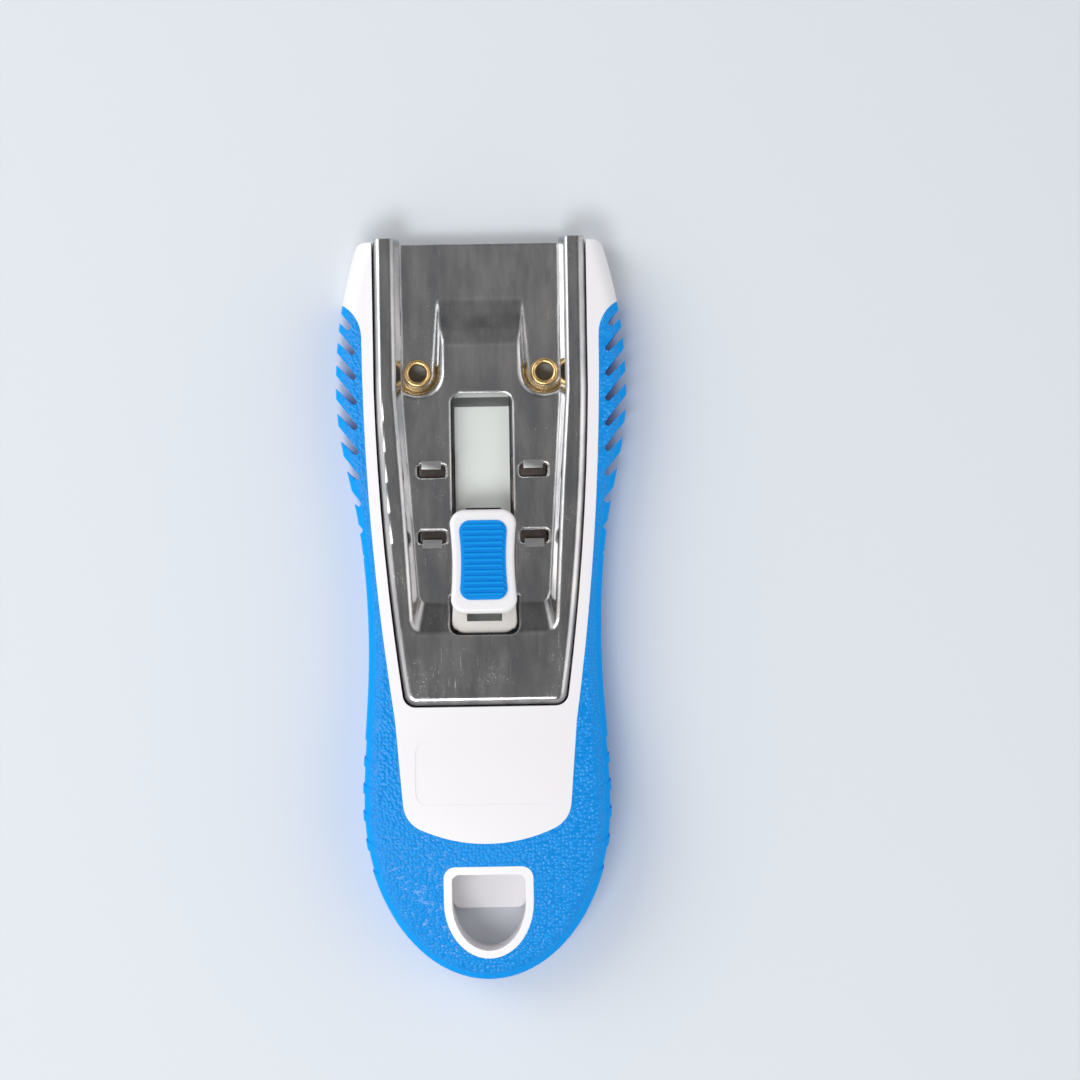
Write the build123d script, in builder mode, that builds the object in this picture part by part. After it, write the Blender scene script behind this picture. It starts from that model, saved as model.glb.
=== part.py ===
"""Glass and hob scraper: a riveted steel head with a sliding blade, held in a two-shell handle with a soft grip.

Millimetres. +Y is the blade end, +X the right side seen from above, +Z up.
The underside lies flat on z = 0 and the origin is in the middle of the length.
"""
import os

from build123d import *

os.makedirs("parts", exist_ok=True)

# Lengths along the tool, one behind the other from the blade end to the tail
blade_edge_setback = 1.75
blade_depth = 19.0
blade_to_eyelet = 6.8
eyelet_to_slot = 4.4
slot_length = 49.6
cover_tail = 14.4
white_tail = 28.1
ring_web = 6.3
ring_straight = 5.7
ring_bore_radius = 7.55
ring_point = 2.5
tail_wall = 6.2

# Plan of the handle, by how far it stands out beside the steel head
cheek_setback = 0.75
cheek_overhang = 3.4
cheek_corner_radius = 2.4
shoulder_overhang = 8.2
flank_overhang = 4.7
flank_place_share = 0.38
waist_overhang = 7.8
waist_lead = 3.8
palm_overhang = 9.1
palm_lead = 7.9

# Side view of the handle, along the crest of its crowned back
crown_radius = 160.0
crest_over_rail = 0.7
crest_nose_rise = 0.2
crest_head_lag = 0.6
crest_hump = 2.1
crest_hump_lag = 8.2
crest_tail_z = 12.6
shoulder_round = 3.8
underside_round = 1.8
overrun = 1.0

# White shell inside the soft grip
shell_lip = 1.5
shell_shoulder_setback = 13.35
shell_neck_rim = 2.65
shell_neck_setback = 20.15
shell_mid_rim = 2.55
shell_rear_rim = 2.2
shell_rear_lag = 3.1
shell_heel_rim = 0.5
shell_heel_rise = 4.7
shell_heel_round = 6.0
grip_side_wall = 2.5
grip_top_wall = 2.2
grip_floor_gap = 0.6
substrate_lag = 4.0
badge_front_margin = 7.35
badge_rear_margin = 8.05
badge_side_margin = 2.3
badge_corner_radius = 2.4
badge_depth = 0.12

# Lower shell
back_thickness = 3.0
back_lead = 14.4
back_edge_chamfer = 0.5

# Soft grip: slanted fins at the shoulder, three steps behind them and raised bands at the palm
fin_count = 7
fin_setback = 17.95
fin_pitch = 5.13
fin_gap = 1.25
fin_depth = 3.5
fin_drift = 0.1
fin_first_inset = 0.6
fin_slant = 45
fin_flare_share = 0.11
step_count = 3
step_pitch = 5.5
step_drift = 0.2
band_count = 5
band_lag = 10.4
band_pitch = 5.6
band_gap = 3.3
band_slant = 29
band_reach = 3.9
band_length = 9.0
band_depth = 0.3
band_fade_share = 0.1

# Hang hole
ring_wall = 1.6
ring_corner_radius = 1.6
ledge_depth = 7.8
ledge_corner_radius = 1.7

# Stamped cover plate and base plate of the head
sheet = 0.8
plate_fit = 0.1
pocket_fit = 0.3
base_z = 1.2
blade_space = 2.6
panel_rise = 3.0
rail_rise = 4.0
blade_side_gap = 1.4
cover_knee_lag = 3.6
cover_taper = 5.3
cover_taper_share = 0.29
cover_mid_place_share = 0.48
cover_corner_radius = 2.4
rail_front_width = 5.3
rail_mid_width = 5.4
rail_rear_inset = 2.9
recess_mid_place_share = 0.57
rail_slope = 1.15
rear_ramp = 6.3
rear_ramp_lead = 0.4
panel_setback = 0.95
nose_ramp_lead = 5.4
nose_ramp_length = 10.0
rail_outer_round = 1.5
rail_inner_round = 1.1
recess_corner_radius = 2.2

# Eyelets and their drawn pockets
eyelet_bore = 3.5
eyelet_wall = 0.35
eyelet_flange = 5.8
eyelet_roll = 0.6
eyelet_rail_gap = 0.15
pocket_clearance = 0.25
pocket_draw = 2.3
pocket_draw_shares = ((0.0, 0.0), (0.12, 0.18), (0.5, 0.45), (0.88, 0.74), (1.0, 1.0))
pocket_flare_share = 0.08
boss_top_radius = 3.7
boss_foot_radius = 4.6

# Slot of the slider
slot_margin = 0.4
slot_widening = 8.0
slot_corner_radius = 1.9
slot_rollover = 0.2

# Guide bracket clenched under the cover
bracket_sheet = 0.7
bracket_lead = 17.4
bracket_length = 19.0
bracket_side_margin = 2.5
bracket_corner_radius = 1.2
tab_slot_width = 6.1
tab_slot_depth = 2.9
tab_slot_radius = 0.9
tab_slot_gap = 1.1
tab_inset = 2.7
tab_width = 4.0
tab_depth = 1.0
tab_lip = 0.7
tab_lip_height = 0.35
nub_lag = 2.1
nub_radius = 0.9
nub_reach = 0.15

# Blade and its carrier
run_gap = 0.2
channel_fit = 0.3
carrier_sheet = 0.8
tongue_half = 5.65
tongue_tail = 3.6
tongue_step_gap = 0.6
tongue_step_length = 2.0
tongue_lift = 1.4
neck_round = 2.0
yoke_inset = 0.9
yoke_setback = 3.0
yoke_to_eyelet = 5.2
yoke_corner_radius = 1.5
window_half = 3.9
window_lead = 0.5
window_depth = 1.2
blade_width = 39.0
blade_thickness = 0.25
blade_bevel = 1.6
blade_edge_thickness = 0.03
blade_corner = 1.0
stud_inset = 8.5
stud_diameter = 3.0
stud_head = 0.9
stud_fit = 0.15
stud_chamfer = 0.25
blade_waist_half = 6.0
blade_waist_depth = 2.2

# Slider base, button and the pieces between them
collar_half = 6.7
collar_waist = 0.75
collar_length = 24.7
collar_rear_gap = 0.3
collar_thickness = 1.7
collar_corner_radius = 2.4
slide_fit = 0.1
foot_half = 4.5
foot_inset = 1.0
foot_depth = 3.4
hook_depth = 1.6
hook_inset = 0.6
rivet_x = 2.5
rivet_diameter = 1.8
rivet_head = 3.0
rivet_head_height = 0.6
leg_half = 3.2
leg_thickness = 1.6
leg_fit = 0.4
leg_front_gap = 2.2
leg_rear_inset = 1.4
leg_window_inset = 2.5
press_travel = 1.1
press_spare = 0.3
cap_side_overhang = 0.5
cap_waist = 0.85
cap_front_overhang = 0.7
cap_rear_inset = 4.1
cap_height = 3.4
cap_wall = 1.5
cap_roof = 1.6
cap_corner_radius = 3.0
cap_round = 0.9
pad_side_inset = 2.05
pad_waist = 0.6
pad_front_inset = 2.2
pad_rear_inset = 2.85
pad_corner_radius = 2.2
pad_sink = 0.8
pad_crown = 0.25
rib_count = 13
rib_width = 0.62
rib_height = 0.4
rib_margin = 1.1
lock_sheet = 0.7
spring_sheet = 0.3
spring_half = 2.0
spring_margin = 0.7
spring_foot = 1.1

# Screws
screw_side_inset = 3.2
screw_front_lag = 8.2
screw_tail_rise = 1.2
screw_ring_gap = 5.05
screw_diameter = 2.6
screw_head = 5.0
screw_head_height = 1.5
screw_sink = 0.3
screw_length = 9.0
head_screw_lead = 5.2
nut_collar_radius = 2.6
nut_collar_height = 1.6

quarter_turn = 90
half_turn = 2 * quarter_turn

# Places along the length, from the nose back
head_length = blade_edge_setback + blade_depth + blade_to_eyelet + eyelet_to_slot + slot_length + cover_tail
ring_length = ring_straight + ring_bore_radius + ring_point
half_length = (head_length + white_tail + ring_web + ring_length + tail_wall) / 2
blade_edge_y = half_length - blade_edge_setback
blade_rear_y = blade_edge_y - blade_depth
eyelet_y = blade_rear_y - blade_to_eyelet
slot_front_y = eyelet_y - eyelet_to_slot
slot_rear_y = slot_front_y - slot_length
cover_rear_y = slot_rear_y - cover_tail
shell_tip_y = cover_rear_y - white_tail
ring_top_y = shell_tip_y - ring_web
ring_centre_y = ring_top_y - ring_straight
cheek_front_y = half_length - cheek_setback
cover_knee_y = eyelet_y - cover_knee_lag
cover_mid_y = cover_knee_y - cover_mid_place_share * (cover_knee_y - cover_rear_y)
recess_rear_y = slot_rear_y + rear_ramp + rear_ramp_lead
recess_mid_y = cover_knee_y - recess_mid_place_share * (cover_knee_y - recess_rear_y)
panel_front_y = half_length - panel_setback
nose_ramp_rear_y = eyelet_y + nose_ramp_lead
nose_ramp_front_y = nose_ramp_rear_y + nose_ramp_length
shoulder_y = cover_knee_y
waist_y = cover_rear_y + waist_lead
flank_y = shoulder_y - flank_place_share * (shoulder_y - waist_y)
palm_y = shell_tip_y + palm_lead
crest_head_y = slot_rear_y - crest_head_lag
crest_rise_y = cover_rear_y - crest_hump_lag
shell_shoulder_y = half_length - shell_shoulder_setback
shell_neck_y = half_length - shell_neck_setback
shell_mid_y = cover_mid_y
shell_rear_y = cover_rear_y - shell_rear_lag
shell_heel_y = shell_tip_y + shell_heel_rise
back_front_y = slot_rear_y + back_lead
substrate_front_y = back_front_y - substrate_lag
badge_height = white_tail - badge_front_margin - badge_rear_margin
badge_y = cover_rear_y - badge_front_margin - badge_height / 2
fin_first_y = half_length - fin_setback
step_first_y = fin_first_y - (fin_count - 1) * fin_pitch - step_pitch
band_first_y = cover_rear_y - band_lag
ledge_front_y = ring_top_y - ledge_depth
slot_step_y = slot_rear_y + slot_widening
bracket_rear_y = slot_rear_y + bracket_lead
bracket_front_y = bracket_rear_y + bracket_length
tab_rear_y = bracket_rear_y + tab_inset
tab_front_y = bracket_front_y - tab_inset
nub_y = tab_front_y - nub_lag
tongue_rear_y = slot_rear_y - tongue_tail
tongue_step_front_y = slot_front_y - tongue_step_gap
tongue_step_rear_y = tongue_step_front_y - tongue_step_length
yoke_front_y = blade_edge_y - yoke_setback
yoke_rear_y = eyelet_y + yoke_to_eyelet
stud_y = blade_edge_y - blade_depth / 2
collar_rear_y = slot_rear_y + collar_rear_gap
collar_front_y = collar_rear_y + collar_length
window_y = collar_front_y + window_lead
foot_front_y = collar_front_y - foot_inset
foot_rear_y = foot_front_y - foot_depth
foot_mid_y = (foot_front_y + foot_rear_y) / 2
cap_front_y = collar_front_y + cap_front_overhang
cap_rear_y = collar_rear_y + cap_rear_inset
pad_front_y = cap_front_y - pad_front_inset
pad_rear_y = cap_rear_y + pad_rear_inset
leg_front_y = foot_rear_y - leg_front_gap
leg_rear_y = cap_rear_y + leg_rear_inset
leg_window_rear_y = collar_rear_y + leg_window_inset
screw_front_y = cover_rear_y - screw_front_lag
screw_tail_y = ring_top_y + screw_tail_rise
head_screw_y = cover_rear_y + head_screw_lead

# Half widths, from the blade outwards
cover_front_half = blade_width / 2 + blade_side_gap + sheet
cover_mid_half = cover_front_half - cover_taper * cover_taper_share
cover_rear_half = cover_front_half - cover_taper
recess_front_half = cover_front_half - rail_front_width
recess_mid_half = cover_mid_half - rail_mid_width
recess_rear_half = cover_rear_half - rail_rear_inset
cheek_half = cover_front_half + cheek_overhang
shoulder_half = cover_front_half + shoulder_overhang
flank_half = cover_front_half + flank_overhang
waist_half = cover_rear_half + waist_overhang
palm_half = cover_rear_half + palm_overhang
shell_shoulder_half = shoulder_half - shell_lip
shell_neck_half = cover_front_half + shell_neck_rim
shell_mid_half = cover_mid_half + shell_mid_rim
shell_rear_half = cover_rear_half + shell_rear_rim
shell_heel_half = cover_rear_half + shell_heel_rim
badge_half = shell_heel_half - badge_side_margin
fin_root_half = shoulder_half - fin_depth
step_root_half = fin_root_half - (fin_count - 1) * fin_drift - step_drift
band_inner_half = palm_half - band_reach
pocket_floor_radius = eyelet_flange / 2 + pocket_clearance
eyelet_x = recess_front_half - eyelet_rail_gap - pocket_floor_radius
yoke_half = blade_width / 2 - yoke_inset
stud_x = blade_width / 2 - stud_inset
channel_half = tongue_half + channel_fit
slot_half = channel_half + slot_margin
slot_rear_half = collar_half + slot_margin
tab_x = slot_half + tab_slot_gap + tab_slot_width / 2
bracket_half = tab_x + bracket_side_margin
lock_half = channel_half - channel_fit
cap_half = collar_half + cap_side_overhang
pad_half = cap_half - pad_side_inset
screw_x = cover_rear_half - screw_side_inset
screw_tail_x = ring_bore_radius + ring_wall + screw_ring_gap

# Levels that the stack of sheet metal gives
base_top_z = base_z + sheet
low_panel_z = base_top_z + blade_space + sheet
panel_z = low_panel_z + panel_rise
rail_z = panel_z + rail_rise
crest_head_z = rail_z + crest_over_rail
crest_nose_z = crest_head_z + crest_nose_rise
crest_rise_z = crest_head_z + crest_hump
yoke_z = base_top_z + run_gap
yoke_top_z = yoke_z + carrier_sheet
tongue_top_z = yoke_top_z + tongue_lift
collar_z = panel_z + slide_fit
collar_top_z = collar_z + collar_thickness
cap_z = collar_top_z + press_travel + press_spare
cap_top_z = cap_z + cap_height
cap_roof_z = cap_top_z - cap_roof
pad_top_z = cap_top_z + pad_crown
lock_z = tongue_top_z + press_travel + press_spare
lock_top_z = lock_z + lock_sheet
crest_reach = rail_z + crest_rise_z


def save(piece, name):
    """Label one finished piece and write its file."""
    piece.part.label = name
    export_step(piece.part, f"parts/{name}.step")


def handle_outline(inset=0, corner=0):
    """Plan of the handle: tail ellipse, waisted flanks, shoulders and tapering cheeks."""
    with BuildSketch() as plan:
        with BuildLine():
            tail = EllipticalCenterArc(
                (0, palm_y),
                palm_half - inset,
                half_length + palm_y - inset,
                start_angle=3 * quarter_turn,
                arc_size=quarter_turn,
            )
            flank = Spline(
                tail @ 1,
                (waist_half - inset, waist_y),
                (flank_half - inset, flank_y),
                (shoulder_half - inset, shoulder_y),
                tangents=[(0, 1), (0, 1)],
            )
            cheek = TangentArc(flank @ 1, (cheek_half - inset, cheek_front_y), tangent=(0, 1))
            Line(cheek @ 1, (0, cheek_front_y))
            mirror(about=Plane.YZ)
        make_face()
        if corner:
            fillet(plan.vertices().group_by(Axis.Y)[-1].sort_by(Axis.X)[0], corner)
            fillet(plan.vertices().group_by(Axis.Y)[-1].sort_by(Axis.X)[-1], corner)
    return plan.sketch


def handle_body(inset=0, drop=0, floor=0):
    """The handle's outer form, drawn in by inset at the sides and by drop at the top."""
    axis_z = crest_head_z - crown_radius
    with BuildPart() as body:
        with BuildSketch(Plane.XY.offset(floor)):
            add(handle_outline(inset))
        extrude(amount=crest_reach)
        with BuildSketch(Plane((0, 0, axis_z), x_dir=(0, 1, 0), z_dir=(0, 0, 1))):
            with BuildLine():
                nose = Line(
                    (half_length + overrun, crest_nose_z - drop - axis_z),
                    (crest_head_y, crest_head_z - drop - axis_z),
                )
                rise = TangentArc(nose @ 1, (crest_rise_y, crest_rise_z - drop - axis_z), tangent=nose % 1)
                palm = TangentArc(
                    rise @ 1, (-half_length - overrun, crest_tail_z - drop - axis_z), tangent=rise % 1
                )
                Polyline(palm @ 1, (-half_length - overrun, 0), (half_length + overrun, 0), nose @ 0)
            make_face()
        revolve(axis=Axis((0, 0, axis_z), (0, 1, 0)), revolution_arc=half_turn, mode=Mode.INTERSECT)
        crown = body.faces().sort_by(Axis.Z)[-1]
        rim = crown.edges().sort_by(Axis.Y)[:-1]
        fillet(rim, shoulder_round - inset)
        if not inset:
            sole = body.faces().sort_by(Axis.Z)[0]
            fillet(sole.edges().sort_by(Axis.Y)[:-1], underside_round)
    return body.part


def shell_outline():
    """Edge of the white upper shell against the soft grip; ahead of the neck it takes in the cheeks."""
    wide = shoulder_half + overrun
    with BuildSketch() as plan:
        with BuildLine():
            heel = ThreePointArc(
                (-shell_heel_half, shell_heel_y), (0, shell_tip_y), (shell_heel_half, shell_heel_y)
            )
            side = Line(heel @ 1, (shell_rear_half, shell_rear_y))
            flank = ThreePointArc(side @ 1, (shell_mid_half, shell_mid_y), (shell_neck_half, shell_neck_y))
            sweep = TangentArc(
                flank @ 1, (shell_shoulder_half, shell_shoulder_y), tangent=flank % 1
            )
            nose = Polyline(
                sweep @ 1,
                (wide, half_length + overrun),
                (0, half_length + overrun),
            )
            mirror(side, about=Plane.YZ)
            mirror(flank, about=Plane.YZ)
            mirror(sweep, about=Plane.YZ)
            mirror(nose, about=Plane.YZ)
        make_face()
        heel_corners = plan.vertices().group_by(Axis.Y)[0]
        fillet(heel_corners, shell_heel_round)
    return plan.sketch


def ring_outline(spread):
    """Shield shape of the hang hole: flat towards the blade, a drawn-out bowl towards the tail."""
    radius = ring_bore_radius + spread
    top_y = ring_top_y + spread
    with BuildSketch() as plan:
        with BuildLine():
            bowl = EllipticalCenterArc(
                (0, ring_centre_y), radius, radius + ring_point, start_angle=half_turn, arc_size=half_turn
            )
            Polyline(bowl @ 1, (radius, top_y), (-radius, top_y), bowl @ 0)
        make_face()
        fillet(plan.vertices().group_by(Axis.Y)[-1], ring_corner_radius + spread / 2)
    return plan.sketch


def cover_outline(inset=0, front_y=half_length):
    """Plan of the stamped cover: parallel at the blade, tapering to the rear."""
    with BuildSketch() as plan:
        with BuildLine():
            rear = Line((0, cover_rear_y + inset), (cover_rear_half - inset, cover_rear_y + inset))
            side = ThreePointArc(
                rear @ 1, (cover_mid_half - inset, cover_mid_y), (cover_front_half - inset, cover_knee_y)
            )
            nose = Line(side @ 1, (cover_front_half - inset, front_y))
            Line(nose @ 1, (0, front_y))
            mirror(about=Plane.YZ)
        make_face()
        fillet(plan.vertices().group_by(Axis.Y)[0], cover_corner_radius - inset)
    return plan.sketch


def recess_outline(spread, rear_y):
    """Plan of the sunk panel between the rails, widened by spread."""
    front_y = half_length + overrun
    with BuildSketch() as plan:
        with BuildLine():
            rear = Line((0, rear_y), (recess_rear_half + spread, rear_y))
            side = ThreePointArc(
                rear @ 1,
                (recess_mid_half + spread, recess_mid_y),
                (recess_front_half + spread, cover_knee_y),
            )
            nose = Line(side @ 1, (recess_front_half + spread, front_y))
            Line(nose @ 1, (0, front_y))
            mirror(about=Plane.YZ)
        make_face()
        fillet(plan.vertices().group_by(Axis.Y)[0], recess_corner_radius)
    return plan.sketch


def pocket_outline(radius, flare):
    """Plan of one pocket round an eyelet, open towards the blade."""
    front_y = half_length + overrun
    front_half = radius + flare * (front_y - eyelet_y)
    with BuildSketch() as plan:
        with BuildLine():
            bowl = CenterArc((eyelet_x, eyelet_y), radius, half_turn, half_turn)
            Polyline(
                bowl @ 1, (eyelet_x + front_half, front_y), (eyelet_x - front_half, front_y), bowl @ 0
            )
        make_face()
    return plan.sketch


def eyelet_pockets(wall):
    """Both pockets with their S-shaped walls, spread by wall for the hollow under the sheet."""
    with BuildPart() as pockets:
        for rise_share, draw_share in pocket_draw_shares:
            radius = pocket_floor_radius + wall + pocket_draw * draw_share
            with BuildSketch(Plane.XY.offset(low_panel_z - wall + panel_rise * rise_share)):
                add(pocket_outline(radius, pocket_flare_share * (1 - draw_share)))
        loft()
        with BuildSketch(Plane.XY.offset(low_panel_z - wall)):
            add(recess_outline(wall - plate_fit, recess_rear_y))
        extrude(amount=panel_rise, mode=Mode.INTERSECT)
        mirror(about=Plane.YZ)
    return pockets.part


def cover_form(wall):
    """The stamping's upper face as a solid; with wall it is the hollow under the sheet."""
    front_y = half_length + (overrun if wall else 0)
    foot_z = base_z - (overrun if wall else 0)
    with BuildPart() as form:
        with BuildSketch(Plane.XY.offset(foot_z)):
            add(cover_outline(wall, front_y))
        extrude(amount=rail_z - wall - foot_z)
        fillet(form.faces().sort_by(Axis.Z)[-1].edges().sort_by(Axis.Y)[:-1], rail_outer_round - wall)
        with BuildSketch(Plane.XY.offset(panel_z - wall)):
            add(recess_outline(wall, recess_rear_y - wall))
        with BuildSketch(Plane.XY.offset(rail_z - wall)):
            add(recess_outline(rail_slope + wall, recess_rear_y - rear_ramp - wall))
        loft(mode=Mode.SUBTRACT)
        inner_reach = recess_front_half + rail_slope + wall + plate_fit
        ramp_top_y = recess_rear_y - rear_ramp - wall - plate_fit
        lips = [
            edge
            for edge in form.edges().group_by(Axis.Z)[-1]
            if abs(edge.center().X) < inner_reach and edge.center().Y > ramp_top_y
        ]
        fillet(lips, rail_inner_round - wall / 2)
        add(eyelet_pockets(wall), mode=Mode.SUBTRACT)
        with BuildSketch(Plane.YZ):
            with BuildLine():
                ramp = Spline(
                    (nose_ramp_rear_y, panel_z - wall),
                    (nose_ramp_front_y, low_panel_z - wall),
                    tangents=[(1, 0), (1, 0)],
                )
                Polyline(
                    ramp @ 1,
                    (half_length + overrun, low_panel_z - wall),
                    (half_length + overrun, panel_z - wall),
                    ramp @ 0,
                )
            make_face()
        extrude(amount=recess_front_half + wall, both=True, mode=Mode.SUBTRACT)
    return form.part


# Cover plate: one stamping with rails, sunk panel, eyelet pockets, slot and tab slots
with BuildPart() as cover_plate:
    add(cover_form(0))
    add(cover_form(sheet), mode=Mode.SUBTRACT)
    with BuildSketch(Plane.XY.offset(panel_z)) as openings:
        with Locations((0, (slot_front_y + slot_step_y) / 2)):
            Rectangle(2 * slot_half, slot_front_y - slot_step_y)
        with Locations((0, (slot_step_y + slot_rear_y) / 2)):
            Rectangle(2 * slot_rear_half, slot_step_y - slot_rear_y)
        fillet(openings.vertices().group_by(Axis.Y)[-1], slot_corner_radius)
        fillet(openings.vertices().group_by(Axis.Y)[0], slot_corner_radius)
        with Locations(*[(x, y) for x in (-tab_x, tab_x) for y in (tab_front_y, tab_rear_y)]):
            RectangleRounded(tab_slot_width, tab_slot_depth, tab_slot_radius)
    extrude(amount=rail_rise, both=True, mode=Mode.SUBTRACT)
    rims = [
        edge
        for edge in cover_plate.edges()
        if abs(edge.center().Z - panel_z) < plate_fit
        and abs(edge.center().X) < slot_rear_half + plate_fit
        and slot_rear_y < edge.center().Y < slot_front_y + plate_fit
    ]
    fillet(rims, slot_rollover)
    with BuildSketch(Plane.XY.offset(base_z)):
        with Locations((-eyelet_x, eyelet_y), (eyelet_x, eyelet_y)):
            Circle(eyelet_bore / 2 + eyelet_wall + plate_fit)
    extrude(amount=panel_z - base_z, mode=Mode.SUBTRACT)
    with BuildSketch(Plane.XY.offset(base_z)):
        with Locations((0, (half_length + overrun + panel_front_y) / 2)):
            Rectangle(2 * recess_front_half, half_length + overrun - panel_front_y)
    extrude(amount=panel_z - base_z, mode=Mode.SUBTRACT)

# Base plate: flat sole of the head, embossed up to the eyelets, with a drawn collar for its screw
with BuildPart() as base_plate:
    with BuildSketch(Plane.XY.offset(base_z)):
        add(cover_outline(sheet + plate_fit, panel_front_y))
    extrude(amount=sheet)
    with Locations((-eyelet_x, eyelet_y, base_z), (eyelet_x, eyelet_y, base_z)):
        boss_height = low_panel_z - sheet - base_z
        Cone(boss_foot_radius, boss_top_radius, boss_height, align=(Align.CENTER, Align.CENTER, Align.MIN))
        Cone(
            boss_foot_radius - sheet,
            boss_top_radius - sheet,
            boss_height - sheet,
            align=(Align.CENTER, Align.CENTER, Align.MIN),
            mode=Mode.SUBTRACT,
        )
        Cylinder(
            eyelet_bore / 2 + eyelet_wall + plate_fit,
            boss_height,
            align=(Align.CENTER, Align.CENTER, Align.MIN),
            mode=Mode.SUBTRACT,
        )
    with Locations((0, head_screw_y, base_z)):
        Cylinder(
            nut_collar_radius, sheet + nut_collar_height, align=(Align.CENTER, Align.CENTER, Align.MIN)
        )
        Cylinder(
            screw_diameter / 2,
            sheet + nut_collar_height,
            align=(Align.CENTER, Align.CENTER, Align.MIN),
            mode=Mode.SUBTRACT,
        )

# Eyelets: tubes with a rolled flange above the pocket and below the boss
eyelets = {}
for name, place_x in (("eyelet_left", -eyelet_x), ("eyelet_right", eyelet_x)):
    with BuildPart() as eyelet:
        bore = eyelet_bore / 2
        barrel = bore + eyelet_wall
        rim = eyelet_flange / 2
        clamp_z = low_panel_z - 2 * sheet
        with BuildSketch(Plane((place_x, eyelet_y, 0), x_dir=(1, 0, 0), z_dir=(0, -1, 0))):
            with BuildLine():
                Polyline((barrel, clamp_z), (barrel, low_panel_z), (rim, low_panel_z))
                ThreePointArc(
                    (rim, low_panel_z),
                    ((rim + bore) / 2, low_panel_z + eyelet_roll),
                    (bore, low_panel_z),
                )
                Line((bore, low_panel_z), (bore, clamp_z))
                ThreePointArc(
                    (bore, clamp_z), ((rim + bore) / 2, clamp_z - eyelet_roll), (rim, clamp_z)
                )
                Line((rim, clamp_z), (barrel, clamp_z))
            make_face()
        revolve(axis=Axis((place_x, eyelet_y, 0), (0, 0, 1)))
    eyelets[name] = eyelet

# Guide bracket: a bent channel under the panel that keeps the tongue straight, with four tabs
with BuildPart() as guide_bracket:
    bracket_mid_y = (bracket_front_y + bracket_rear_y) / 2
    floor_z = yoke_top_z + tongue_lift - carrier_sheet - run_gap
    under_z = panel_z - sheet
    with BuildSketch(Plane((0, bracket_front_y, 0), x_dir=(-1, 0, 0), z_dir=(0, 1, 0))) as profile:
        with BuildLine():
            inner = channel_half
            outer = channel_half + bracket_sheet
            Polyline(
                (0, floor_z),
                (inner, floor_z),
                (inner, under_z),
                (bracket_half, under_z),
                (bracket_half, under_z - bracket_sheet),
                (outer, under_z - bracket_sheet),
                (outer, floor_z - bracket_sheet),
                (0, floor_z - bracket_sheet),
            )
            mirror(about=Plane.YZ)
        make_face()
    extrude(amount=-(bracket_front_y - bracket_rear_y))
    flange_corners = guide_bracket.edges().filter_by(Axis.Z).group_by(Axis.X)
    fillet(flange_corners[0] + flange_corners[-1], bracket_corner_radius)
    tab_post = under_z + sheet + tab_lip_height - (under_z - bracket_sheet)
    for tab_y, ahead in ((tab_front_y, 1), (tab_rear_y, -1)):
        edge_y = tab_y + ahead * tab_slot_depth / 2
        with BuildSketch(Plane.YZ):
            with BuildLine():
                Polyline(
                    (edge_y - ahead * plate_fit, under_z),
                    (edge_y - ahead * plate_fit, panel_z),
                    (edge_y + ahead * tab_lip, panel_z),
                    (edge_y + ahead * tab_lip, panel_z + tab_lip_height),
                    (edge_y - ahead * tab_depth, panel_z + tab_lip_height),
                    (edge_y - ahead * tab_depth, under_z),
                    close=True,
                )
            make_face()
        tab = extrude(amount=tab_width / 2, both=True, mode=Mode.PRIVATE)
        with Locations((-tab_x, 0, 0), (tab_x, 0, 0)):
            add(tab)
    nub_x = channel_half + nub_radius - nub_reach
    with Locations((-nub_x, nub_y, lock_top_z), (nub_x, nub_y, lock_top_z)):
        Cylinder(nub_radius, under_z - lock_top_z, align=(Align.CENTER, Align.CENTER, Align.MIN))

# Blade carrier: a bent tongue that widens into the yoke under the blade
with BuildPart() as blade_carrier:
    with BuildSketch(Plane.YZ):
        with BuildLine():
            Polyline(
                (yoke_front_y, yoke_z),
                (yoke_front_y, yoke_top_z),
                (tongue_step_front_y, yoke_top_z),
                (tongue_step_rear_y, tongue_top_z),
                (tongue_rear_y, tongue_top_z),
                (tongue_rear_y, tongue_top_z - carrier_sheet),
                (tongue_step_rear_y, tongue_top_z - carrier_sheet),
                (tongue_step_front_y, yoke_z),
                close=True,
            )
        make_face()
    extrude(amount=yoke_half, both=True)
    with BuildSketch(Plane.XY) as plan:
        yoke_mid_y = (yoke_front_y + yoke_rear_y) / 2
        with Locations((0, yoke_mid_y)):
            RectangleRounded(2 * yoke_half, yoke_front_y - yoke_rear_y, yoke_corner_radius)
        with Locations((0, (yoke_mid_y + tongue_rear_y) / 2)):
            Rectangle(2 * tongue_half, yoke_mid_y - tongue_rear_y)
        throat = [v for v in plan.vertices() if v.Y == yoke_rear_y and abs(v.X) == tongue_half]
        fillet(throat, neck_round)
        fillet(plan.vertices().group_by(Axis.Y)[0], neck_round)
        with Locations((0, window_y)):
            SlotOverall(2 * window_half, window_depth, mode=Mode.SUBTRACT)
        with Locations((-stud_x, stud_y), (stud_x, stud_y)):
            Circle(stud_diameter / 2, mode=Mode.SUBTRACT)
        with Locations((-rivet_x, foot_front_y - foot_depth / 2), (rivet_x, foot_front_y - foot_depth / 2)):
            Circle(rivet_diameter / 2, mode=Mode.SUBTRACT)
    extrude(amount=panel_z, mode=Mode.INTERSECT)

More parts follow.
